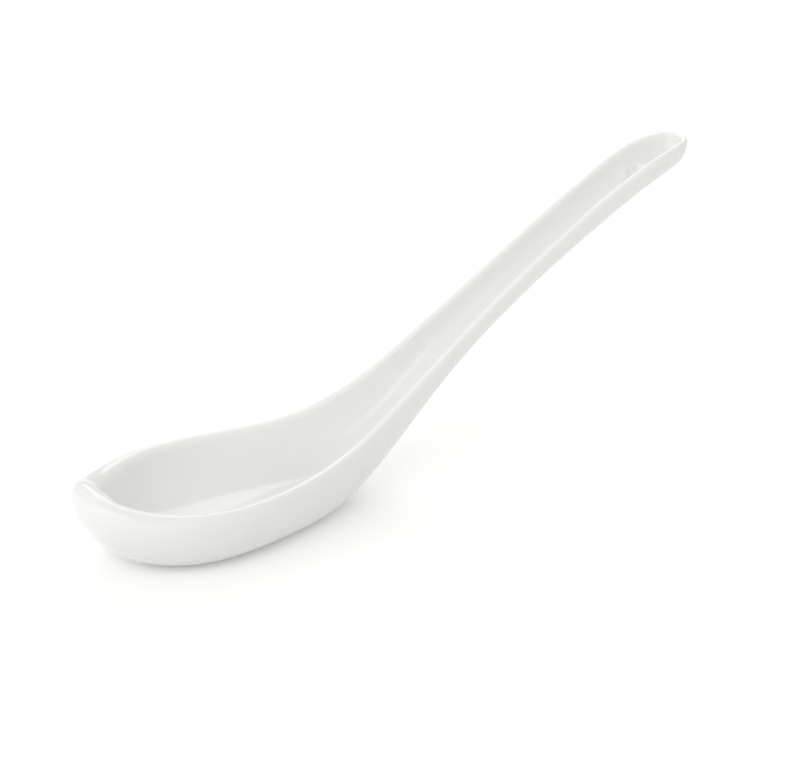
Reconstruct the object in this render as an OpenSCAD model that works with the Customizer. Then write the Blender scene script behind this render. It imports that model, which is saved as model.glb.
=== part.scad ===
// Chinese soup spoon in glazed porcelain. Millimetres, +X towards the handle, +Z up.
// The origin lies on the table, under the middle of the spoon.

/* [Overall] */
// Length from the front lip to the tip of the handle, seen from above
spoon_l = 133.5; // [115:1:150]
// Outer width of the bowl at its rim
bowl_w = 31.5; // [27:0.5:36]
// Outer width of the handle
handle_w = 9.75; // [9:0.25:12]

/* [Heights] */
// Height of the front lip above the table
front_h = 15.75; // [14:0.25:18]
// Height of the lowest stretch of the rim, at the bowl's sides
side_h = 12.25; // [11.25:0.25:13.5]
// Height of the rim at the handle's tip
tip_h = 55.5; // [45:0.25:62]
// Height of the handle from its underside to the top of its lips
handle_h = 6.75; // [6:0.25:7.5]

/* [Walls] */
// Thickness of the bowl's floor
floor_t = 3.5; // [2.5:0.25:4.5]
// Thickness of the handle's floor, measured upright
handle_t = 2.25; // [2:0.25:3]
// Thickness of the front lip
front_lip_t = 5.25; // [4:0.25:6]
// Thickness of the lip along the bowl's sides
side_lip_t = 2.25; // [2:0.25:3]
// Thickness of the lip along the handle
handle_lip_t = 1.5; // [1.5:0.25:2.5]

/* [Base] */
// How much of the rounded belly is ground off to make the flat base
ground_d = 0.8; // [0.5:0.1:1.2]
// Width of the bare ring that the spoon stands on
ring_w = 2; // [1.5:0.25:3]
// Depth of the glazed recess inside the ring
recess_d = 0.6; // [0.4:0.1:1]

/* [Hanging hole] */
// Diameter of the hole
hole_d = 5; // [4:0.25:5.5]
// Distance from the handle's tip to the middle of the hole
hole_inset = 10.5; // [9.5:0.5:16]

/* [Glaze] */
// Thickness of the glaze
glaze_t = 0.3; // [0.2:0.05:0.4]
// Height above the table at which the glaze ends
glaze_edge_h = 0.3; // [0.2:0.1:0.8]

/* [Smoothness] */
// Number of stations from the front lip to the handle's tip
stations = 40; // [32:2:52]
// Number of rows up each wall
wall_rows = 8; // [6:1:10]
// Number of rows over the lip
lip_rows = 5; // [3:1:6]

/* [Hidden] */
body_colour = [0.93, 0.91, 0.87];
glaze_colour = [0.97, 0.98, 0.96];
// Facets of the round cuts
$fn = 48;
// How far a cut runs past what it cuts
overrun = glaze_t;

// Guide points from the front lip to the handle's tip. A smooth curve is drawn towards them.
// Places of the rim's guide points along the spoon, as shares of its length
rim_x_shares = [0, 0, 0.045, 0.114, 0.198, 0.287, 0.375, 0.465, 0.555, 0.652, 0.752, 0.85, 0.93, 1, 1];
// Places of the keel's, which end short of the lip at both ends
keel_x_shares = [0.114, 0.114, 0.129, 0.163, 0.218, 0.287, 0.375, 0.465, 0.555, 0.652, 0.752, 0.845, 0.925, 0.965, 0.965];
// Parts of the bowl's and of the handle's width in the rim's width
bowl_w_shares = [0, 0.365, 0.69, 0.98, 1.03, 0.87, 0.53, 0.215, 0.085, 0.03, 0.01, 0, 0, 0, 0];
handle_w_shares = [0, 0, 0, 0, 0, 0, 0.4, 0.8, 1, 1, 1.02, 1.05, 1.16, 0.8, 0];
// How far the rim has come from the side's height to the front lip's, and to the tip's
front_h_shares = [1, 1, 0.385, 0.14, 0.05, 0, 0, 0, 0, 0, 0, 0, 0, 0, 0];
tip_h_shares = [0, 0, 0, 0, 0, 0, 0.022, 0.145, 0.325, 0.51, 0.695, 0.86, 0.975, 1, 1];
// How far the keel hangs from the rim, as the handle's does, and not flat on the table
hang_shares = [0, 0, 0, 0, 0, 0, 0, 0.61, 0.96, 1.01, 1, 0.985, 0.995, 1, 1];
// Thickness of the lip: the front lip's part and the handle's, the side's is the rest
front_lip_shares = [1, 1, 0.9, 0.25, 0, 0, 0, 0, 0, 0, 0, 0, 0, 0, 0];
handle_lip_shares = [0, 0, 0, 0, 0, 0, 0.4, 0.85, 1, 1, 1, 1, 1, 1, 1];
// Zones: the front's and the handle's part in the shape of the walls, the bowl's sides are the rest
front_zone_shares = [1, 1, 0.6, 0, 0, 0, 0, 0, 0, 0, 0, 0, 0, 0, 0];
handle_zone_shares = [0, 0, 0, 0, 0, 0, 0.4, 0.9, 1, 1, 1, 1, 1, 1, 1];
// Shape of a wall, as shares of its reach and of its height: how far out it runs before it climbs,
// how far out its upper guide lies, and how high that guide lies
outer_front_shares = [0.45, 0.98, 0.39];
outer_side_shares = [0.8, 0.95, 0.21];
outer_handle_shares = [0.58, 0.98, 0.27];
inner_front_shares = [0.45, 0.85, 0.35];
inner_side_shares = [0.42, 0.82, 0.32];
inner_handle_shares = [0.72, 0.93, 0.22];

last = len(rim_x_shares) - 1;
guides = [0 : last];
lip_guide = [for (j = guides) [side_lip_t + (front_lip_t - side_lip_t) * front_lip_shares[j]
                               + (handle_lip_t - side_lip_t) * handle_lip_shares[j], 0, 0]];
// The rim's guide points are where the outer wall meets the lip, half the lip's thickness below its top
rim_guide = [for (j = guides) [spoon_l * rim_x_shares[j],
                               (bowl_w * bowl_w_shares[j] + handle_w * handle_w_shares[j]) / 2,
                               side_h + (front_h - side_h) * front_h_shares[j]
                               + (tip_h - side_h) * tip_h_shares[j] - lip_guide[j].x / 2]];
// The keel is the middle line of the underside, before its belly is ground flat
keel_guide = [for (j = guides) [spoon_l * keel_x_shares[j], 0,
                                hang_shares[j] * (rim_guide[j].z + lip_guide[j].x / 2 - handle_h + ground_d)
                                - ground_d]];
// The floor is the middle line of the inside
floor_guide = [for (j = guides) keel_guide[j] + [0, 0, handle_t * hang_shares[j]
                                                 + (floor_t + ground_d) * (1 - hang_shares[j])]];
function zoned(front, side, handle) = [for (j = guides) side + (front - side) * front_zone_shares[j]
                                       + (handle - side) * handle_zone_shares[j]];
outer_guide = zoned(outer_front_shares, outer_side_shares, outer_handle_shares);
inner_guide = zoned(inner_front_shares, inner_side_shares, inner_handle_shares);

// Guide point j, or its mirror image beyond either end: side is -1 for a place and 1 for a set of shares
function guide(c, j, side) = j < 0 ? [c[-j].x, side * c[-j].y, c[-j].z]
                           : j > last ? [c[2 * last - j].x, side * c[2 * last - j].y, c[2 * last - j].z]
                           : c[j];
function cell(u) = min(floor(u), last - 1);
function four_guides(c, u, side) = [for (j = [cell(u) - 1 : cell(u) + 2]) guide(c, j, side)];
// A smooth curve drawn towards the guide points, and its direction: a uniform cubic B-spline
function pulls(t) = [pow(1 - t, 3), 3 * pow(t, 3) - 6 * pow(t, 2) + 4,
                     -3 * pow(t, 3) + 3 * pow(t, 2) + 3 * t + 1, pow(t, 3)] / 6;
function pull_rates(t) = [-pow(1 - t, 2), 3 * pow(t, 2) - 4 * t, -3 * pow(t, 2) + 2 * t + 1, pow(t, 2)] / 2;
function curve(c, u, side = -1) = pulls(u - cell(u)) * four_guides(c, u, side);
function heading(c, u) = pull_rates(u - cell(u)) * four_guides(c, u, -1);
// Rise over run of a middle line, taken just inside its ends, where the curve stands still
end_gap = 0.001;
function steepness(c, u) = let (h = heading(c, max(end_gap, min(last - end_gap, u)))) h.z / h.x;
function unit(v) = v / norm(v);

// A wall from the middle line m, with its steepness, out and up to the edge e: t runs from 0 to 1
function reach(s, t) = 3 * s[0] * t * pow(1 - t, 2) + 3 * s[1] * pow(t, 2) * (1 - t) + pow(t, 3);
function climb(s, t) = 3 * s[2] * pow(t, 2) * (1 - t) + pow(t, 3);
function wall(m, slope, e, s, t) =
  let (f = reach(s, t), g = climb(s, t), x = m.x + (e.x - m.x) * f)
  [x, e.y * f, (m.z + slope * (x - m.x)) * (1 - g) + e.z * g];
// The direction in which a wall arrives at its edge
function arrival(m, slope, e, s) = unit([(e.x - m.x) * (1 - s[1]), e.y * (1 - s[1]),
                                         (e.z - m.z - slope * (e.x - m.x)) * (1 - s[2])]);
// The round of the lip, from the outer edge a to the inner edge b, leaving along da and db
function lip_round(a, da, b, db, t) =
  let (k = norm(b - a) * 2 / 3)
  a * pow(1 - t, 3) + (a + da * k) * 3 * t * pow(1 - t, 2) + (b + db * k) * 3 * pow(t, 2) * (1 - t) + b * pow(t, 3);

// The inner edge lies the lip's thickness inside the outer edge, square to it
function inner_edge(u) = let (h = heading(rim_guide, u), inward = unit([h.y, -h.x, 0]))
  curve(rim_guide, u) + inward * curve(lip_guide, u).x;
// One station's points, from the keel up the outside, over the lip and down the inside
function station(u) =
  let (outer = curve(rim_guide, u), inner = inner_edge(u),
       keel = curve(keel_guide, u), middle = curve(floor_guide, u),
       keel_slope = steepness(keel_guide, u), middle_slope = steepness(floor_guide, u),
       outer_shape = curve(outer_guide, u, 1), inner_shape = curve(inner_guide, u, 1),
       up_outside = arrival(keel, keel_slope, outer, outer_shape),
       up_inside = arrival(middle, middle_slope, inner, inner_shape))
  [for (k = [0 : wall_rows]) wall(keel, keel_slope, outer, outer_shape, k / wall_rows),
   for (k = [1 : lip_rows - 1]) lip_round(outer, up_outside, inner, up_inside, k / lip_rows),
   for (k = [wall_rows : -1 : 0]) wall(middle, middle_slope, inner, inner_shape, k / wall_rows)];

half = [for (i = [0 : stations]) station(last * i / stations)];
top_row = 2 * wall_rows + lip_rows;
around = 2 * stations;
function far_side(p) = [p.x, -p.y, p.z];
// The outward direction at station i and row j of the half skin
function along(i, j) = i == 0 ? half[1][j] - far_side(half[1][j])
                     : i == stations ? far_side(half[i - 1][j]) - half[i - 1][j]
                     : half[i + 1][j] - half[i - 1][j];
function along_middle(i, j) = half[min(i + 1, stations)][j] - half[max(i - 1, 0)][j];
function outward(i, j) = j == 0 ? unit(cross([0, 1, 0], along_middle(i, j)))
                       : j == top_row ? unit(cross([0, -1, 0], along_middle(i, j)))
                       : unit(cross(half[i][j + 1] - half[i][j - 1], along(i, j)));
// The rows of a skin that lies inset under the outer one
function skin_points(inset) =
  let (near = [for (i = [0 : stations]) [for (j = [0 : top_row]) half[i][j] - inset * outward(i, j)]])
  [for (i = [0 : stations]) near[i][0],
   for (j = [1 : top_row - 1]) for (k = [0 : around - 1])
     k <= stations ? near[k][j] : far_side(near[around - k][j]),
   for (i = [0 : stations]) near[i][top_row]];
// Number of a point: the first and the last row are single lines, the others run round the spoon
function folded(k) = k <= stations ? k : around - k;
function number(j, k) = j == 0 ? folded(k % around)
                      : stations + 1 + (j - 1) * around + (j == top_row ? folded(k % around) : k % around);
function corners(j, k) = [number(j, k), number(j, k + 1), number(j + 1, k + 1), number(j + 1, k)];
// Two triangles for each field of the grid, split alike on both sides of the spoon. The split changes its
// direction halfway along and between outside and inside, so that no triangle lies in the middle plane
function near_tip(k) = min(k, around - 1 - k) >= stations / 2;
function split_up(j, k) = (k < stations) != (near_tip(k) == (j < top_row / 2));
skin_faces = [for (j = [0 : top_row - 1]) for (k = [0 : around - 1])
                let (c = corners(j, k))
                each split_up(j, k) ? [[c[0], c[1], c[2]], [c[0], c[2], c[3]]]
                                    : [[c[0], c[1], c[3]], [c[1], c[2], c[3]]]];

// The clay stands on the table where the glaze's outer wall would lie one glaze deep under it: the way
// up that wall to this place, found by halving
function ground_t(u, low = 0, high = 1, turns = 16) =
  let (t = (low + high) / 2)
  turns == 0 ? t : outer_point(u, t).z > -glaze_t ? ground_t(u, low, t, turns - 1) : ground_t(u, t, high, turns - 1);
function outer_point(u, t) = wall(curve(keel_guide, u), steepness(keel_guide, u), curve(rim_guide, u),
                                  curve(outer_guide, u, 1), t);
base_line = [for (i = [0 : stations]) let (u = last * i / stations)
               if (curve(keel_guide, u).z < -glaze_t) let (p = outer_point(u, ground_t(u))) [p.x, p.y]];
base_count = len(base_line);

// The hanging hole stands square to the handle's floor
hole_x = spoon_l - hole_inset;
hole_u = lookup(hole_x, [for (i = [0 : stations]) let (u = last * i / stations) [curve(floor_guide, u).x, u]]);
hole_lean = atan(steepness(floor_guide, hole_u));
hole_cut_h = 2 * (handle_t + glaze_t);
rim_sides = 24;

// Middle of the spoon's length at the origin
module at_centre() {
  translate([-spoon_l / 2, 0, 0]) children();
}

// The whole outer shape, or one that lies inset under it
module skin(inset) {
  polyhedron(points = skin_points(inset), faces = skin_faces, convexity = 6);
}

// Everything below the height h
module below(h) {
  translate([-overrun, -bowl_w, h - side_h]) cube([spoon_l, 2 * bowl_w, side_h]);
}

// Puts what it is given square through the handle's floor
module at_hole() {
  translate(curve(floor_guide, hole_u)) rotate([0, -hole_lean, 0]) children();
}

// The glaze ends one glaze deep short of the hole, on a rim of flat sides
module glaze_rim() {
  outer_r = (hole_d / 2 + glaze_t) / cos(180 / rim_sides);
  linear_extrude(hole_cut_h, center = true)
    polygon([for (k = [0 : rim_sides - 1]) outer_r * [cos(k * 360 / rim_sides), sin(k * 360 / rim_sides)]]);
}

// The recess inside the bare ring, from height low to high
module recess(low, high) {
  translate([0, 0, low]) linear_extrude(high - low) offset(delta = -ring_w)
    polygon([for (p = base_line) p, for (i = [base_count - 1 : -1 : 0]) [base_line[i].x, -base_line[i].y]]);
}

// Fired clay: bowl, base, handle and the hanging hole in one casting
module porcelain_body() {
  color(body_colour) at_centre() difference() {
    skin(glaze_t);
    below(0);
    recess(-overrun, recess_d);
    at_hole() cylinder(d = hole_d, h = hole_cut_h, center = true);
  }
}

// Clear glaze over everything but the base
module glaze_coat() {
  color(glaze_colour) at_centre() difference() {
    skin(0);
    skin(glaze_t);
    below(glaze_edge_h);
    at_hole() glaze_rim();
  }
}

// Glaze on the ceiling of the recess under the base
module base_glaze() {
  color(glaze_colour) at_centre() recess(recess_d - glaze_t, recess_d);
}

porcelain_body();
glaze_coat();
base_glaze();
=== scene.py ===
# Chinese soup spoon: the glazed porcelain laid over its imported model. The forms are worked out in
# millimetres from the front lip, +X towards the handle and +Z up, and end in the model's own frame.
import math
import bmesh
import bpy
import numpy as np
from mathutils import Matrix, Vector


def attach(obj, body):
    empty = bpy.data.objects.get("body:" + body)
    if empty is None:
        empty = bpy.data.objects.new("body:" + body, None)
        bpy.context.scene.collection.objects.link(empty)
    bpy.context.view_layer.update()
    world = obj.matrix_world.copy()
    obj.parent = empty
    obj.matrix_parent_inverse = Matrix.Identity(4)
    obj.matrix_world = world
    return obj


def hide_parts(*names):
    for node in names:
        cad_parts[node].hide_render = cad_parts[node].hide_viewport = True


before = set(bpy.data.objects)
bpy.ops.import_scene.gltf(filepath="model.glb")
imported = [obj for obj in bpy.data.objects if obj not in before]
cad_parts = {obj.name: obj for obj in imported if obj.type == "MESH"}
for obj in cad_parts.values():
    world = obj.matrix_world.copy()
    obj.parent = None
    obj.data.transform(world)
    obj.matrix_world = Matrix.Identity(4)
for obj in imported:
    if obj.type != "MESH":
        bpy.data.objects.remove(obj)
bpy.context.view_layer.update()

# The same sizes as in the part's source, in millimetres
spoonSizes = {
    "length": 133.5, "bowlWidth": 31.5, "handleWidth": 9.75,
    "frontHeight": 15.75, "sideHeight": 12.25, "tipHeight": 55.5, "handleHeight": 6.75,
    "floorThickness": 3.5, "handleThickness": 2.25,
    "frontLip": 5.25, "sideLip": 2.25, "handleLip": 1.5,
    "groundDepth": 0.8, "ringWidth": 2, "recessDepth": 0.6,
    "holeDiameter": 5, "holeInset": 10.5,
    "glazeThickness": 0.3, "glazeEdgeHeight": 0.3,
}
# Guide points from the front lip to the tip, as shares
formShares = {
    "rimX": [0, 0, 0.045, 0.114, 0.198, 0.287, 0.375, 0.465, 0.555, 0.652, 0.752, 0.85, 0.93, 1, 1],
    "keelX": [0.114, 0.114, 0.129, 0.163, 0.218, 0.287, 0.375, 0.465, 0.555, 0.652, 0.752, 0.845, 0.925,
              0.965, 0.965],
    "bowlWidth": [0, 0.365, 0.69, 0.98, 1.03, 0.87, 0.53, 0.215, 0.085, 0.03, 0.01, 0, 0, 0, 0],
    "handleWidth": [0, 0, 0, 0, 0, 0, 0.4, 0.8, 1, 1, 1.02, 1.05, 1.16, 0.8, 0],
    "frontHeight": [1, 1, 0.385, 0.14, 0.05, 0, 0, 0, 0, 0, 0, 0, 0, 0, 0],
    "tipHeight": [0, 0, 0, 0, 0, 0, 0.022, 0.145, 0.325, 0.51, 0.695, 0.86, 0.975, 1, 1],
    "hang": [0, 0, 0, 0, 0, 0, 0, 0.61, 0.96, 1.01, 1, 0.985, 0.995, 1, 1],
    "frontLip": [1, 1, 0.9, 0.25, 0, 0, 0, 0, 0, 0, 0, 0, 0, 0, 0],
    "handleLip": [0, 0, 0, 0, 0, 0, 0.4, 0.85, 1, 1, 1, 1, 1, 1, 1],
    "frontZone": [1, 1, 0.6, 0, 0, 0, 0, 0, 0, 0, 0, 0, 0, 0, 0],
    "handleZone": [0, 0, 0, 0, 0, 0, 0.4, 0.9, 1, 1, 1, 1, 1, 1, 1],
}
# Shape of a wall: reach before it climbs, reach of its upper guide, height of that guide
wallShares = {
    "outerFront": [0.45, 0.98, 0.39], "outerSide": [0.8, 0.95, 0.21], "outerHandle": [0.58, 0.98, 0.27],
    "innerFront": [0.45, 0.85, 0.35], "innerSide": [0.42, 0.82, 0.32], "innerHandle": [0.72, 0.93, 0.22],
}

size = spoonSizes
share = {name: np.array(values, float) for name, values in formShares.items()}
lastGuide = len(share["rimX"]) - 1
noShift = np.zeros(lastGuide + 1)


# value = side + (front - side) * front share + (handle - side) * handle share
def zoned(front, side, handle, frontShare, handleShare):
    front, side, handle = (np.atleast_1d(np.array(v, float)) for v in (front, side, handle))
    return side + np.outer(frontShare, front - side) + np.outer(handleShare, handle - side)


# The guides of the rim, the keel, the floor, the lip's thickness and the two walls' shapes
lipGuide = zoned(size["frontLip"], size["sideLip"], size["handleLip"], share["frontLip"], share["handleLip"])
rimTop = (size["sideHeight"] + (size["frontHeight"] - size["sideHeight"]) * share["frontHeight"]
          + (size["tipHeight"] - size["sideHeight"]) * share["tipHeight"])
rimWidth = size["bowlWidth"] * share["bowlWidth"] + size["handleWidth"] * share["handleWidth"]
rimGuide = np.stack([size["length"] * share["rimX"], rimWidth / 2, rimTop - lipGuide[:, 0] / 2], 1)
keelHeight = share["hang"] * (rimTop - size["handleHeight"] + size["groundDepth"]) - size["groundDepth"]
keelGuide = np.stack([size["length"] * share["keelX"], noShift, keelHeight], 1)
floorGuide = keelGuide + np.stack([noShift, noShift, size["handleThickness"] * share["hang"]
                                   + (size["floorThickness"] + size["groundDepth"]) * (1 - share["hang"])], 1)
outerGuide = zoned(wallShares["outerFront"], wallShares["outerSide"], wallShares["outerHandle"],
                   share["frontZone"], share["handleZone"])
innerGuide = zoned(wallShares["innerFront"], wallShares["innerSide"], wallShares["innerHandle"],
                   share["frontZone"], share["handleZone"])


# Uniform cubic B-spline: each point is the mean of four guides, weighed by the cubic base functions of t.
# Beyond either end the guides are the mirror image of those before it. Rates are the derivative by t.
def splinePoints(guides, u, mirrored, rates=False):
    sign = np.array([1, -1, 1] if mirrored else [1] * guides.shape[1], float)
    folded = np.vstack([guides[1] * sign, guides, guides[-2] * sign])
    cell = np.minimum(np.floor(u).astype(int), lastGuide - 1)
    t = u - cell
    if rates:
        pull = np.stack([-(1 - t) ** 2, 3 * t ** 2 - 4 * t, -3 * t ** 2 + 2 * t + 1, t ** 2], -1) / 2
    else:
        pull = np.stack([(1 - t) ** 3, 3 * t ** 3 - 6 * t ** 2 + 4,
                         -3 * t ** 3 + 3 * t ** 2 + 3 * t + 1, t ** 3], -1) / 6
    return sum(pull[..., i:i + 1] * folded[cell + i] for i in range(4))


# Rise over run of a middle line: its rate in z over its rate in x, taken just inside either end
def steepness(guides, u):
    nearEnd = 0.001
    heading = splinePoints(guides, np.clip(u, nearEnd, lastGuide - nearEnd), True, True)
    return heading[..., 2] / heading[..., 0]


# Each vector over its own length
def unit(vectors):
    return vectors / np.maximum(np.linalg.norm(vectors, axis=-1, keepdims=True), 1e-12)


# p(t): x and y go f = 3a t(1-t)^2 + 3b t^2(1-t) + t^3 of the way from the middle line to the edge, and
# z goes g = 3c t^2(1-t) + t^3 of the way from the middle line's tangent to the edge
def wallPoints(middle, slope, edge, shape, t):
    f = 3 * shape[..., 0] * t * (1 - t) ** 2 + 3 * shape[..., 1] * t ** 2 * (1 - t) + t ** 3
    g = 3 * shape[..., 2] * t ** 2 * (1 - t) + t ** 3
    x = middle[..., 0] + (edge[..., 0] - middle[..., 0]) * f
    z = (middle[..., 2] + slope * (x - middle[..., 0])) * (1 - g) + edge[..., 2] * g
    return np.stack([x, edge[..., 1] * f, z], -1)


# Direction in which a wall reaches its edge: the derivative of p at t = 1
def arrival(middle, slope, edge, shape):
    reach = edge[:, 0] - middle[:, 0]
    rise = (edge[:, 2] - middle[:, 2] - slope * reach) * (1 - shape[:, 2])
    return unit(np.stack([reach * (1 - shape[:, 1]), edge[:, 1] * (1 - shape[:, 1]), rise], 1))


# The outer wall at the places u: its middle line, the steepness of that, its edge and its shape
def outerWall(u):
    return (splinePoints(keelGuide, u, True), steepness(keelGuide, u), splinePoints(rimGuide, u, True),
            splinePoints(outerGuide, u, False))


# The inner edge lies the lip's thickness inside the outer edge, square to it in plan
def innerWall(u):
    heading = splinePoints(rimGuide, u, True, True)
    inward = unit(np.stack([heading[:, 1], -heading[:, 0], 0 * u], 1))
    edge = splinePoints(rimGuide, u, True) + inward * splinePoints(lipGuide, u, False)
    return (splinePoints(floorGuide, u, True), steepness(floorGuide, u), edge,
            splinePoints(innerGuide, u, False))


# The t at which the outer wall stands at a height, by halving; 0 where its keel is higher
def wallStart(u, height):
    keel, slope, rim, shape = outerWall(u)
    low, high = np.zeros_like(u), np.ones_like(u)
    for turn in range(30):
        t = (low + high) / 2
        above = wallPoints(keel, slope, rim, shape, t)[:, 2] > height
        high, low = np.where(above, t, high), np.where(above, low, t)
    return np.where(keel[:, 2] < height, high, 0)


# Stations from lip to tip. The one at which the keel rises past a height is put in exactly, by halving.
# The keel is lower than that from the front on.
def stationPlaces(count, height):
    u = np.linspace(0, lastGuide, count)
    below = np.nonzero(splinePoints(keelGuide, u, True)[:, 2] < height)[0][-1]
    low, high = u[below], u[below + 1]
    for turn in range(40):
        middle = (low + high) / 2
        if splinePoints(keelGuide, np.array([middle]), True)[0, 2] < height:
            low = middle
        else:
            high = middle
    # an even station within 0.4 of a step of it goes, because two so close fold over
    tooClose = 0.4 * u[1]
    apart = (np.abs(u - high) > tooClose) | (u == 0) | (u == lastGuide)
    u = np.sort(np.append(u[apart], high))
    return u, u < high


# Half of the skin as a grid: stations by rows, from the keel or the ground line up the outside, over the
# lip on a cubic whose handles are two thirds of the lip's thickness, and down the inside
def halfSkin(u, start, wallRows, lipRows):
    keel, slope, rim, outerShape = outerWall(u)
    middle, middleSlope, edge, innerShape = innerWall(u)
    t = start[:, None] + (1 - start[:, None]) * np.linspace(0, 1, wallRows + 1)
    wide = lambda a: a[:, None]
    outer = wallPoints(wide(keel), wide(slope), wide(rim), wide(outerShape), t)
    inner = wallPoints(wide(middle), wide(middleSlope), wide(edge), wide(innerShape),
                       np.linspace(1, 0, wallRows + 1)[None, :])
    s = np.linspace(0, 1, lipRows + 1)[None, 1:-1, None]
    handle = np.linalg.norm(edge - rim, axis=1)[:, None, None] * 2 / 3
    up = wide(arrival(keel, slope, rim, outerShape))
    upInside = wide(arrival(middle, middleSlope, edge, innerShape))
    a, b = wide(rim), wide(edge)
    lip = (a * (1 - s) ** 3 + (a + up * handle) * 3 * s * (1 - s) ** 2
           + (b + upInside * handle) * 3 * s ** 2 * (1 - s) + b * s ** 3)
    return np.concatenate([outer, lip, inner], 1)


# Outward directions of a half grid: the cross product of the differences to its neighbours in both ways.
# Past a middle line the neighbour is the mirror image of the one before it.
def halfNormals(half, open0):
    flip = np.array([1, -1, 1.0])
    before = np.concatenate([half[1:2] * flip, half[:-1]])
    after = np.concatenate([half[1:], half[-2:-1] * flip])
    alongSpoon = after - before
    alongSpoon[0] = half[1] - half[1] * flip
    alongSpoon[-1] = half[-2] * flip - half[-2]
    firstNeighbour = np.where(open0[:, None], half[:, 0], half[:, 1] * flip)
    across = (np.concatenate([half[:, 1:], (half[:, -2] * flip)[:, None]], 1)
              - np.concatenate([firstNeighbour[:, None], half[:, :-1]], 1))
    normals = np.cross(across, alongSpoon)
    # on the middle lines the neighbours along are the line's own
    for row in (0, -1):
        line = half[:, row]
        run = np.concatenate([line[1:2] - line[0:1], line[2:] - line[:-2], line[-1:] - line[-2:-1]])
        side = np.array([0, 1, 0.0]) if row == 0 else np.array([0, -1, 0.0])
        middleNormal = np.cross(side, run)
        closed = ~open0 if row == 0 else np.ones(len(half), bool)
        normals[closed, row] = middleNormal[closed]
    return unit(normals)


# The whole skin: the half and its mirror image as one ring of points a row, with the middle lines shared.
# Gives points, quads and the number of each point.
def wholeSkin(half, open0):
    n, rows = half.shape[:2]
    around = 2 * (n - 1)
    k = np.arange(around)
    near = k <= n - 1
    station = np.where(near, k, around - k)
    ring = half[station].transpose(1, 0, 2).copy()
    ring[:, ~near, 1] *= -1
    number = np.arange(rows * around).reshape(rows, around)
    mirror = (around - k) % around
    shared = ~near & ~open0[station]
    number[0, shared] = number[0, mirror[shared]]
    number[-1, ~near] = number[-1, mirror[~near]]
    following = np.roll(number, -1, 1)
    quads = np.stack([number[:-1], number[1:], following[1:], following[:-1]], -1).reshape(-1, 4)
    return ring.reshape(-1, 3), quads, number


# Places in a ring of points that go round the open middle of its first row
def openLoop(number, open0):
    around = number.shape[1]
    last = np.count_nonzero(open0)
    return np.concatenate([np.arange(last + 1), np.arange(around - last + 1, around)])


# Quads between rows of point numbers that run round a loop, each row's last joined to its first
def loopQuads(rows):
    rows = np.array(rows)
    following = np.roll(rows, -1, 1)
    return np.stack([rows[:-1], rows[1:], following[1:], following[:-1]], -1).reshape(-1, 4)


# New points are numbered after those there are; returns the grown arrays and the new numbers
def addRows(points, rows):
    rows = np.array(rows)
    numbers = len(points) + np.arange(rows.shape[0] * rows.shape[1]).reshape(rows.shape[:2])
    return np.vstack([points, rows.reshape(-1, 3)]), numbers


# Where the hole's axis crosses the floor line, and its directions: along the handle, across it, out of it.
# The place is read off the floor line, drawn through even places, at the hole's distance from the tip.
def holeFrame():
    samples = 45
    u = np.linspace(0, lastGuide, samples)
    place = np.interp(size["length"] - size["holeInset"], splinePoints(floorGuide, u, True)[:, 0], u)
    place = np.array([place])
    lean = math.atan(steepness(floorGuide, place)[0])
    return (splinePoints(floorGuide, place, True)[0], np.array([math.cos(lean), 0, math.sin(lean)]),
            np.array([0, 1.0, 0]), np.array([-math.sin(lean), 0, math.cos(lean)]))


# Rows of the curve into the bore, and how far below the middle the bore runs, as a share of the wall there
holeDetail = {"curveRows": 8, "boreDepthShare": 0.45}


# Opens the hole in a skin. The quads within the hole and its rounding go, the rim of what is left is
# drawn to a circle along the surface, and from there a curve through the corner point q leads into the
# bore: p(s) = rim (1-s)^2 + 2 q s(1-s) + end s^2. The bore runs on to the height of the middle.
def openHole(points, normals, quads, radius, rounding):
    centre, along, across, out = holeFrame()
    relative = points - centre
    height = relative @ out
    radial = relative - height[:, None] * out
    reach = np.linalg.norm(radial, axis=1)
    quadReach = np.linalg.norm(radial[quads].sum(1) / 4, axis=1)
    quadHeight = height[quads].sum(1) / 4
    inHole = (quadReach < radius + rounding) & (np.abs(quadHeight) < size["handleHeight"])
    upward = (normals[quads].sum(1) @ out) > 0
    kept = quads[~inHole]
    for facing in (True, False):
        gone = quads[inHole & (upward == facing)]
        edges = np.sort(np.stack([gone, np.roll(gone, -1, 1)], -1).reshape(-1, 2), 1)
        edges, counts = np.unique(edges, axis=0, return_counts=True)
        loop = np.unique(edges[counts == 1])
        angle = np.arctan2(radial[loop] @ across, radial[loop] @ along)
        loop = loop[np.argsort(angle)]
        outward = unit(radial[loop])
        shift = (radius + rounding - reach[loop])[:, None] * outward
        shift -= ((normals[loop] * shift).sum(1) / (normals[loop] @ out))[:, None] * out
        points[loop] += shift
        rim, n = points[loop], normals[loop]
        inward = -outward + ((n * outward).sum(1) / (n @ out))[:, None] * out
        corner = rim + rounding * inward
        side = 1 if facing else -1
        end = corner - side * rounding * out
        s = np.linspace(0, 1, holeDetail["curveRows"] + 1)[1:, None, None]
        rows = list(rim * (1 - s) ** 2 + 2 * corner * s * (1 - s) + end * s ** 2)
        boreDepth = size["handleThickness"] * holeDetail["boreDepthShare"]
        foot = end - ((end - centre) @ out + boreDepth)[:, None] * out
        rows += [end + (foot - end) * 0.5, foot]
        points, numbers = addRows(points, rows)
        normals = np.vstack([normals, np.zeros((numbers.size, 3))])
        ring = loopQuads(np.vstack([loop[None], numbers]))
        kept = np.vstack([kept, ring[:, ::-1] if facing else ring])
    return points, kept


# From model space in millimetres at the front lip to the frame's metres at the spoon's middle:
# half the length comes off x, and a millimetre is a thousandth of a metre
def toFrame(points):
    metresPerMillimetre = 0.001
    return (points - np.array([size["length"] / 2, 0, 0])) * metresPerMillimetre


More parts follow.
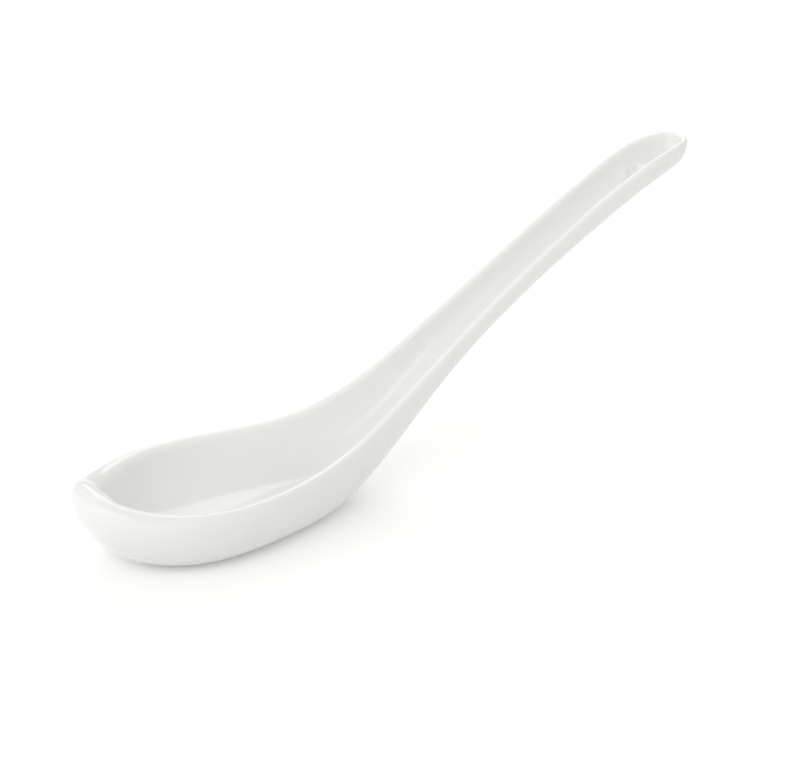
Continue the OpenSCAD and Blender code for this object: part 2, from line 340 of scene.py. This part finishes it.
# A mesh object from points and quads. Coinciding points are merged and unused ones dropped.
def meshPiece(name, points, quads, material, values=None):
    used = np.unique(quads)
    renumber = np.zeros(len(points), int)
    renumber[used] = np.arange(len(used))
    mesh = bpy.data.meshes.new(name)
    faces = renumber[quads]
    mesh.vertices.add(len(used))
    mesh.vertices.foreach_set("co", toFrame(points[used]).astype(np.float32).ravel())
    mesh.loops.add(faces.size)
    mesh.loops.foreach_set("vertex_index", faces.astype(np.int32).ravel())
    mesh.polygons.add(len(faces))
    mesh.polygons.foreach_set("loop_start", np.arange(0, faces.size, 4, dtype=np.int32))
    mesh.polygons.foreach_set("loop_total", np.full(len(faces), 4, np.int32))
    mesh.polygons.foreach_set("use_smooth", np.ones(len(faces), bool))
    mesh.update(calc_edges=True)
    if values is not None:
        layer = mesh.attributes.new("glazeDepth", "FLOAT", "POINT")
        layer.data.foreach_set("value", values[used].astype(np.float32))
    mesh.validate(clean_customdata=False)
    work = bmesh.new()
    work.from_mesh(mesh)
    bmesh.ops.remove_doubles(work, verts=work.verts, dist=1e-6)  # a thousandth of a millimetre
    bmesh.ops.dissolve_degenerate(work, edges=work.edges, dist=1e-7)
    work.to_mesh(mesh)
    work.free()
    mesh.materials.append(material)
    piece = bpy.data.objects.new(name, mesh)
    bpy.context.scene.collection.objects.link(piece)
    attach(piece, "root")
    print(name, len(mesh.vertices), "points", len(mesh.polygons), "faces")
    return piece


# Shader nodes by short calls: sockets are set by name, or by i and their number, and a tuple
# (node, output) makes a link
def addNode(tree, kind, settings=None, **sockets):
    node = tree.nodes.new(kind)
    for name, value in (settings or {}).items():
        setattr(node, name, value)
    for name, value in sockets.items():
        numbered = name[0] == "i" and name[1:].isdigit()
        socket = node.inputs[int(name[1:]) if numbered else name]
        if isinstance(value, tuple) and isinstance(value[0], bpy.types.Node):
            tree.links.new(value[0].outputs[value[1]], socket)
        else:
            socket.default_value = value
    return node


# An empty material with a principled shader, and the object's own coordinates as a socket
def newMaterial(name):
    material = bpy.data.materials.new(name)
    material.use_nodes = True
    tree = material.node_tree
    tree.nodes.clear()
    output = addNode(tree, "ShaderNodeOutputMaterial")
    shader = addNode(tree, "ShaderNodeBsdfPrincipled")
    tree.links.new(shader.outputs[0], output.inputs[0])
    where = addNode(tree, "ShaderNodeTexCoord")
    return material, tree, shader, (where, "Object")


# Mixes two colours, or colour sockets, by a share: first * (1 - share) + second * share
def mixColours(tree, share, first, second):
    mix = addNode(tree, "ShaderNodeMix", {"data_type": "RGBA"})
    # a colour mix has its share in socket 0 and its two colours in 6 and 7, and gives its result in 2
    for slot, value in ((0, share), (6, first), (7, second)):
        if isinstance(value, tuple) and isinstance(value[0], bpy.types.Node):
            tree.links.new(value[0].outputs[value[1]], mix.inputs[slot])
        else:
            mix.inputs[slot].default_value = value
    return (mix, 2)


# One sum or comparison of two values or sockets
def mathNode(tree, operation, first, second, clamped=False):
    settings = {"operation": operation, "use_clamp": clamped}
    return (addNode(tree, "ShaderNodeMath", settings, i0=first, i1=second), 0)


# Carries a value from one range to another in proportion, held at its ends
def mapRange(tree, value, fromLow, fromHigh, toLow, toHigh):
    return (addNode(tree, "ShaderNodeMapRange", i0=value, i1=fromLow, i2=fromHigh, i3=toLow, i4=toHigh), 0)


# Sizes and heights in metres; cloudSpread is how far the depth wanders, 0 thin and 1 pooled
glazeLook = {
    "thinColour": (0.88, 0.878, 0.858, 1), "bodyColour": (0.866, 0.871, 0.852, 1),
    "pooledColour": (0.832, 0.848, 0.828, 1), "speckColour": (0.62, 0.58, 0.5, 1),
    "waveSize": 0.014, "peelSize": 0.0016, "waveHeight": 0.00009, "peelHeight": 0.0000035,
    "roughness": 0.07, "cloudSpread": 0.12, "cloudsPerMetre": 95, "specksPerMetre": 210,
    "speckShare": 0.07, "speckSize": 0.045, "speckStrength": 0.35, "smearsPerMetre": 240,
    "lightDepth": 0.0015, "lightDepthShare": 0.12, "lightDepthColour": (1, 0.85, 0.65),
}


# Glaze: white over a faintly green pool, thin and warm on the lips, with slow waves and fine orange peel
def makeGlaze(look):
    material, tree, shader, place = newMaterial("glaze")
    depth = (addNode(tree, "ShaderNodeAttribute", {"attribute_name": "glazeDepth"}), "Fac")
    mottle = addNode(tree, "ShaderNodeTexNoise", Vector=place, Scale=look["cloudsPerMetre"], Detail=3,
                     Roughness=0.55)
    cloud = mapRange(tree, (mottle, 0), 0.3, 0.7, -look["cloudSpread"], look["cloudSpread"])
    depthNow = mathNode(tree, "ADD", depth, cloud)
    thin = mixColours(tree, mapRange(tree, depthNow, 0.15, 0.5, 0, 1), look["thinColour"], look["bodyColour"])
    pooled = mixColours(tree, mapRange(tree, depthNow, 0.55, 1, 0, 1), thin, look["pooledColour"])
    # sparse grains of iron in the clay, seen through the glaze
    cells = addNode(tree, "ShaderNodeTexVoronoi", {"feature": "F1"}, Vector=place,
                    Scale=look["specksPerMetre"])
    chance = addNode(tree, "ShaderNodeSeparateColor", i0=(cells, "Color"))
    speckSize = mapRange(tree, (chance, 0), 1 - look["speckShare"], 1, 0, look["speckSize"])
    grain = mathNode(tree, "LESS_THAN", (cells, "Distance"), speckSize)
    grainShare = mathNode(tree, "MULTIPLY", grain, look["speckStrength"])
    colour = mixColours(tree, grainShare, pooled, look["speckColour"])
    tree.links.new(colour[0].outputs[colour[1]], shader.inputs["Base Color"])
    smear = addNode(tree, "ShaderNodeTexNoise", Vector=place, Scale=look["smearsPerMetre"], Detail=2)
    rough = mapRange(tree, (smear, 0), 0.3, 0.7, look["roughness"] * 0.75, look["roughness"] * 1.5)
    tree.links.new(rough[0].outputs[0], shader.inputs["Roughness"])
    wave = addNode(tree, "ShaderNodeTexNoise", Vector=place, Scale=1 / look["waveSize"], Detail=1)
    peel = addNode(tree, "ShaderNodeTexNoise", Vector=place, Scale=1 / look["peelSize"], Detail=1)
    slow = addNode(tree, "ShaderNodeBump", Strength=1, Distance=look["waveHeight"], Height=(wave, 0))
    fine = addNode(tree, "ShaderNodeBump", Strength=1, Distance=look["peelHeight"], Height=(peel, 0),
                   Normal=(slow, 0))
    tree.links.new(fine.outputs[0], shader.inputs["Normal"])
    shader.inputs["IOR"].default_value = 1.5
    shader.inputs["Subsurface Weight"].default_value = look["lightDepthShare"]
    shader.inputs["Subsurface Radius"].default_value = look["lightDepthColour"]
    shader.inputs["Subsurface Scale"].default_value = look["lightDepth"]
    return material


clayLook = {
    "paleColour": (0.79, 0.755, 0.68, 1), "darkColour": (0.66, 0.61, 0.52, 1),
    "soilColour": (0.36, 0.33, 0.28, 1), "soilHeight": 0.00012, "soilStrength": 0.5,
    "grainSize": 0.0004, "grainHeight": 0.00003, "roughness": 0.86,
    "blotchesPerMetre": 420, "streaksPerMetre": 900,
}


# Bare clay: matt and sandy, a little soiled where it slides over tables
def makeClay(look):
    material, tree, shader, place = newMaterial("bare_clay")
    blotch = addNode(tree, "ShaderNodeTexNoise", Vector=place, Scale=look["blotchesPerMetre"], Detail=5,
                     Roughness=0.65)
    grain = addNode(tree, "ShaderNodeTexNoise", Vector=place, Scale=1 / look["grainSize"], Detail=2)
    darker = mapRange(tree, (blotch, 0), 0.35, 0.7, 0, 1)
    clay = mixColours(tree, darker, look["paleColour"], look["darkColour"])
    height = addNode(tree, "ShaderNodeSeparateXYZ", i0=place)
    low = mapRange(tree, (height, 2), 0, look["soilHeight"], 1, 0)
    streak = addNode(tree, "ShaderNodeTexNoise", Vector=place, Scale=look["streaksPerMetre"], Detail=4,
                     Roughness=0.7)
    worn = mathNode(tree, "MULTIPLY", low, mapRange(tree, (streak, 0), 0.48, 0.72, 0, look["soilStrength"]))
    colour = mixColours(tree, worn, clay, look["soilColour"])
    tree.links.new(colour[0].outputs[colour[1]], shader.inputs["Base Color"])
    rough = mapRange(tree, (blotch, 0), 0.3, 0.7, look["roughness"] - 0.08, look["roughness"] + 0.06)
    tree.links.new(rough[0].outputs[0], shader.inputs["Roughness"])
    bump = addNode(tree, "ShaderNodeBump", Strength=1, Distance=look["grainHeight"], Height=(grain, 0))
    tree.links.new(bump.outputs[0], shader.inputs["Normal"])
    return material


# Rises smoothly from 0 to 1 between low and high: 3 t^2 - 2 t^3 of the share t of the way
def smoothStep(values, low, high):
    t = np.clip((values - low) / (high - low), 0, 1)
    return t * t * (3 - 2 * t)


# Depths run from 0, thin, to 1, pooled. The foot's pool fades between two heights in millimetres.
glazeDetail = {
    "stations": 300, "wallRows": 40, "lipRows": 16, "edgeRows": 6, "edgeOverhang": 0.8, "holeRounding": 0.55,
    "wallDepth": 0.5, "lipThinning": 0.45, "floorPooling": 0.4, "footPooling": 0.45,
    "footPoolFrom": 2.6, "footPoolTo": 0.4, "edgeDepth": 0.9, "boreDepth": 0.3,
}


# The glaze is the whole outer skin, open over the foot, where its edge rolls in on a quarter of an ellipse:
# p(s) = edge + overhang * depth * sin(s) * down - depth * (1 - cos(s)) * normal
def makeGlazeSkin(detail, material):
    u, open0 = stationPlaces(detail["stations"], size["glazeEdgeHeight"])
    start = wallStart(u, size["glazeEdgeHeight"])
    half = halfSkin(u, start, detail["wallRows"], detail["lipRows"])
    points, quads, number = wholeSkin(half, open0)
    normals = wholeSkin(halfNormals(half, open0), open0)[0]
    rows = half.shape[1]
    # glaze lies thin over the lip, and pools on the floor and above the foot
    row = np.repeat(np.arange(rows), number.shape[1])
    lipMiddle = detail["wallRows"] + detail["lipRows"] / 2
    overLip = 1 - smoothStep(np.abs(row - lipMiddle), detail["lipRows"] * 0.3, detail["lipRows"] * 0.9)
    onFloor = smoothStep(row, rows - detail["wallRows"] * 0.75, rows - detail["wallRows"] * 0.2)
    dryHeight = smoothStep(points[:, 2], detail["footPoolTo"], detail["footPoolFrom"])
    aboveFoot = (row < lipMiddle) * (1 - dryHeight)
    values = (detail["wallDepth"] - detail["lipThinning"] * overLip + detail["floorPooling"] * onFloor
              + detail["footPooling"] * aboveFoot)
    ring = openLoop(number, open0)
    edge, above = number[0, ring], number[1, ring]
    down = points[edge] - points[above]
    down[np.abs(points[edge, 1]) < 1e-3, 1] = 0
    s = np.linspace(0, math.pi / 2, detail["edgeRows"] + 1)[1:, None, None]
    rolled = (points[edge] + size["glazeThickness"] * (detail["edgeOverhang"] * np.sin(s) * unit(down)
                                                       - (1 - np.cos(s)) * normals[edge]))
    points, numbers = addRows(points, rolled)
    normals = np.vstack([normals, np.zeros((numbers.size, 3))])
    values = np.concatenate([values, np.full(numbers.size, detail["edgeDepth"])])
    quads = np.vstack([quads, loopQuads(np.vstack([numbers[::-1], edge[None]]))])
    points, quads = openHole(points, normals, quads, size["holeDiameter"] / 2, detail["holeRounding"])
    values = np.concatenate([values, np.full(len(points) - len(values), detail["boreDepth"])])
    piece = meshPiece("glaze_skin", points, quads, material, values)
    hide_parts("glaze_coat")


# The clay's half grid: the skin moved one glaze deep along its normals, with its ground line on the table
def clayHalf(stations, wallRows, lipRows):
    depth = size["glazeThickness"]
    u, open0 = stationPlaces(stations, -depth)
    half = halfSkin(u, wallStart(u, -depth), wallRows, lipRows)
    half = half - depth * halfNormals(half, open0)
    half[:, 0, 2] = np.where(open0 | (half[:, 0, 2] < 0), 0, half[:, 0, 2])
    return half, open0


# Rounds in millimetres; ceilingRows cross the recess
clayDetail = {
    "stations": 150, "wallRows": 20, "lipRows": 8, "ringRound": 0.12, "stepRound": 0.2, "holeRounding": 0.1,
    "ceilingRows": 8,
}


# The clay lies one glaze deep under the skin. Its foot is a profile of (distance inward, height) pairs
# carried round the ground line: the flat ring, the step and the ceiling of the recess.
def makeClayBody(detail, material):
    half, open0 = clayHalf(detail["stations"], detail["wallRows"], detail["lipRows"])
    points, quads, number = wholeSkin(half, open0)
    normals = wholeSkin(halfNormals(half, open0), open0)[0]
    edge = number[0, openLoop(number, open0)]
    width, recess = size["ringWidth"], size["recessDepth"]
    turn, bend = detail["ringRound"], detail["stepRound"]
    profile = [(width * 0.3, 0), (width * 0.7, 0),
               (width - turn, 0), (width - turn * 0.3, turn * 0.3), (width, turn),
               (width, recess - bend), (width + bend * 0.3, recess - bend * 0.3), (width + bend, recess)]
    rows = [footOutline(points[edge], inward, height) for inward, height in profile]
    rows += centreRows(rows[-1], detail["ceilingRows"])
    points, numbers = addRows(points, rows)
    normals = np.vstack([normals, np.zeros((numbers.size, 3))])
    quads = np.vstack([quads, loopQuads(np.vstack([edge[None], numbers])[::-1])])
    holeRadius = size["holeDiameter"] / 2 + size["glazeThickness"]
    points, quads = openHole(points, normals, quads, holeRadius, detail["holeRounding"])
    piece = meshPiece("clay_body", points, quads, material)
    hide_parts("porcelain_body")


# A loop moved inward in plan by its normals. Where the two sides meet, they end on the middle line.
def footOutline(loop, inward, height):
    tangent = np.roll(loop, -1, 0) - np.roll(loop, 1, 0)
    moved = loop + inward * unit(np.stack([tangent[:, 1], -tangent[:, 0], 0 * tangent[:, 0]], 1))
    side = np.sign(np.where(np.abs(loop[:, 1]) < 1e-6, 0, loop[:, 1]))
    kept = moved[:, 1] * side > 0
    x = np.clip(moved[:, 0], moved[kept, 0].min(), moved[kept, 0].max())
    y = np.where(kept, moved[:, 1], 0)
    return np.stack([x, y, np.full(len(loop), float(height))], 1)


# Rows from a loop to the middle line: each point goes straight across, a little in from both ends
def centreRows(loop, count):
    low, high = loop[:, 0].min(), loop[:, 0].max()
    margin = (high - low) * 0.04  # of the loop's length, at either end
    target = loop.copy()
    target[:, 0] = np.clip(loop[:, 0], low + margin, high - margin)
    target[:, 1] = 0
    return [loop + (target - loop) * s for s in np.linspace(0, 1, count + 1)[1:]]


# Sizes in millimetres; clearance keeps the glaze off the clay's step and ceiling
footGlazeDetail = {
    "stations": 150, "meniscusHeight": 0.16, "meniscusWidth": 0.5, "meniscusRows": 7, "clearance": 0.01,
    "faceRows": 10, "backRows": 4, "glazeDepth": 0.95,
}


# Glaze in the recess: a pool under the ceiling that climbs down the step on a curve,
# height = face - meniscus * (1 - s)^2 at the distance s * width from the step
def makeFootGlaze(detail, material):
    half, open0 = clayHalf(detail["stations"], 4, 3)  # only its ground line is used, so a few rows do
    points, quads, number = wholeSkin(half, open0)
    edge = points[number[0, openLoop(number, open0)]]
    face = size["recessDepth"] - size["glazeThickness"]
    inward = size["ringWidth"] + detail["clearance"]
    rise, spread = detail["meniscusHeight"], detail["meniscusWidth"]
    lower = [footOutline(edge, inward + spread * s, face - rise * (1 - s) ** 2)
             for s in np.linspace(0, 1, detail["meniscusRows"])]
    lower += centreRows(lower[-1], detail["faceRows"])
    upper = [footOutline(edge, inward, size["recessDepth"] - detail["clearance"])]
    upper += centreRows(upper[-1], detail["backRows"])
    count = len(edge)
    rows = np.array(upper[::-1] + lower)
    numbers = np.arange(len(rows) * count).reshape(len(rows), count)
    values = np.full(numbers.size, detail["glazeDepth"])
    quads = loopQuads(numbers)[:, ::-1]
    piece = meshPiece("foot_glaze", rows.reshape(-1, 3), quads, material, values)
    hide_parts("base_glaze")


glazeMaterial = makeGlaze(glazeLook)
clayMaterial = makeClay(clayLook)
print("materials made")
makeGlazeSkin(glazeDetail, glazeMaterial)
makeClayBody(clayDetail, clayMaterial)
makeFootGlaze(footGlazeDetail, glazeMaterial)


# A share of 1 where the camera looks straight, in a reflection or through glass, and 0 for light falling in
def seenShare(tree):
    seen = addNode(tree, "ShaderNodeLightPath")
    direct = mathNode(tree, "ADD", (seen, "Is Camera Ray"), (seen, "Is Glossy Ray"), True)
    return mathNode(tree, "ADD", direct, (seen, "Is Transmission Ray"), True)


# In metres; dropBelow keeps the floor just under the foot
floorLook = {
    "halfWidth": 4, "dropBelow": 0.00002, "colour": (0.9, 0.9, 0.895, 1),
    "glowColour": (0.98, 1, 0.92, 1), "cameraGlow": 0.2,
}


# White floor: a matt sheet that glows a little for the camera and in reflections, so that it shows white
def makeFloor(look):
    material, tree, shader, place = newMaterial("studio_floor")
    tree.nodes.remove(shader)
    matt = addNode(tree, "ShaderNodeBsdfDiffuse", Color=look["colour"])
    strength = mathNode(tree, "MULTIPLY", seenShare(tree), look["cameraGlow"])
    glow = addNode(tree, "ShaderNodeEmission", Color=look["glowColour"], Strength=strength)
    both = addNode(tree, "ShaderNodeAddShader", i0=(matt, 0), i1=(glow, 0))
    output = [n for n in tree.nodes if n.bl_idname == "ShaderNodeOutputMaterial"][0]
    tree.links.new(both.outputs[0], output.inputs[0])
    w, z = look["halfWidth"], -look["dropBelow"]
    mesh = bpy.data.meshes.new("studio_floor")
    mesh.from_pydata([(-w, -w, z), (w, -w, z), (w, w, z), (-w, w, z)], [], [(0, 1, 2, 3)])
    mesh.materials.append(material)
    floor = bpy.data.objects.new("studio_floor", mesh)
    bpy.context.scene.collection.objects.link(floor)


makeFloor(floorLook)
print("floor laid")

# The azimuth turns the view from +Y towards +X and the elevation is above the floor, both in degrees.
# Distance and target are in metres, lens and sensor in millimetres.
viewTurn = {
    "azimuth": 34.37, "elevation": 25.07, "distance": 0.4082, "target": (0.00005, 0, 0.0197),
    "lens": 98.09, "sensorWidth": 36, "nearLimit": 0.01,
}
# Places and sizes in metres. The world lights with one strength and is seen in reflections with two others.
lightSetup = {
    "worldStrength": 0.74, "horizonSeen": 0.655, "zenithSeen": 0.48,
    "lamps": [
        {"name": "lip_softbox", "place": (-1.178, 0, 0.549), "size": (0.8, 0.8), "strength": 0.15},
        {"name": "near_softbox", "place": (-0.837, -0.483, 0.87), "size": (0.8, 0.8), "strength": 0.16},
        {"name": "back_softbox", "place": (0.537, 0.784, 0.8), "size": (0.9, 0.7), "strength": 0.2},
    ],
}


# The matrix that stands at a place with its -Z towards the target and its Y up
def aimed(place, target):
    place, target = Vector(place), Vector(target)
    turn = (target - place).to_track_quat("-Z", "Y").to_matrix().to_4x4()
    return Matrix.Translation(place) @ turn


# A lamp's strength is the share of white that it gives a surface facing it: watts = strength * pi^2 * d^2
def makeLights(setup):
    world = bpy.data.worlds.new("studio")
    world.use_nodes = True
    tree = world.node_tree
    tree.nodes.clear()
    output = addNode(tree, "ShaderNodeOutputWorld")
    light = addNode(tree, "ShaderNodeBackground", Color=(1, 1, 1, 1), Strength=setup["worldStrength"])
    way = addNode(tree, "ShaderNodeTexCoord")
    height = addNode(tree, "ShaderNodeSeparateXYZ", i0=(way, "Generated"))
    paleness = mapRange(tree, (height, 2), 0, 1, setup["horizonSeen"], setup["zenithSeen"])
    shown = addNode(tree, "ShaderNodeBackground", Color=(1, 1, 1, 1), Strength=paleness)
    mix = addNode(tree, "ShaderNodeMixShader", i0=seenShare(tree), i1=(light, 0), i2=(shown, 0))
    tree.links.new(mix.outputs[0], output.inputs[0])
    bpy.context.scene.world = world
    for lamp in setup["lamps"]:
        data = bpy.data.lights.new(lamp["name"], "AREA")
        data.shape = "RECTANGLE"
        data.size, data.size_y = lamp["size"]
        distance = (Vector(lamp["place"]) - Vector(viewTurn["target"])).length
        data.energy = lamp["strength"] * math.pi ** 2 * distance ** 2
        item = bpy.data.objects.new(lamp["name"], data)
        item.matrix_world = aimed(lamp["place"], viewTurn["target"])
        bpy.context.scene.collection.objects.link(item)


# The camera stands its distance back from the target, against the way that it looks:
# (sin azimuth * cos elevation, cos azimuth * cos elevation, -sin elevation)
def makeCamera(view):
    turn, rise = math.radians(view["azimuth"]), math.radians(view["elevation"])
    looking = Vector((math.sin(turn) * math.cos(rise), math.cos(turn) * math.cos(rise), -math.sin(rise)))
    data = bpy.data.cameras.new("photo_view")
    data.sensor_fit = "HORIZONTAL"
    data.sensor_width = view["sensorWidth"]
    data.lens = view["lens"]
    data.clip_start = view["nearLimit"]
    camera = bpy.data.objects.new("photo_view", data)
    place = Vector(view["target"]) - looking * view["distance"]
    camera.matrix_world = aimed(place, view["target"])
    bpy.context.scene.collection.objects.link(camera)
    bpy.context.scene.camera = camera


makeLights(lightSetup)
makeCamera(viewTurn)
bpy.context.scene.view_settings.view_transform = "Standard"
print("lights and camera placed")
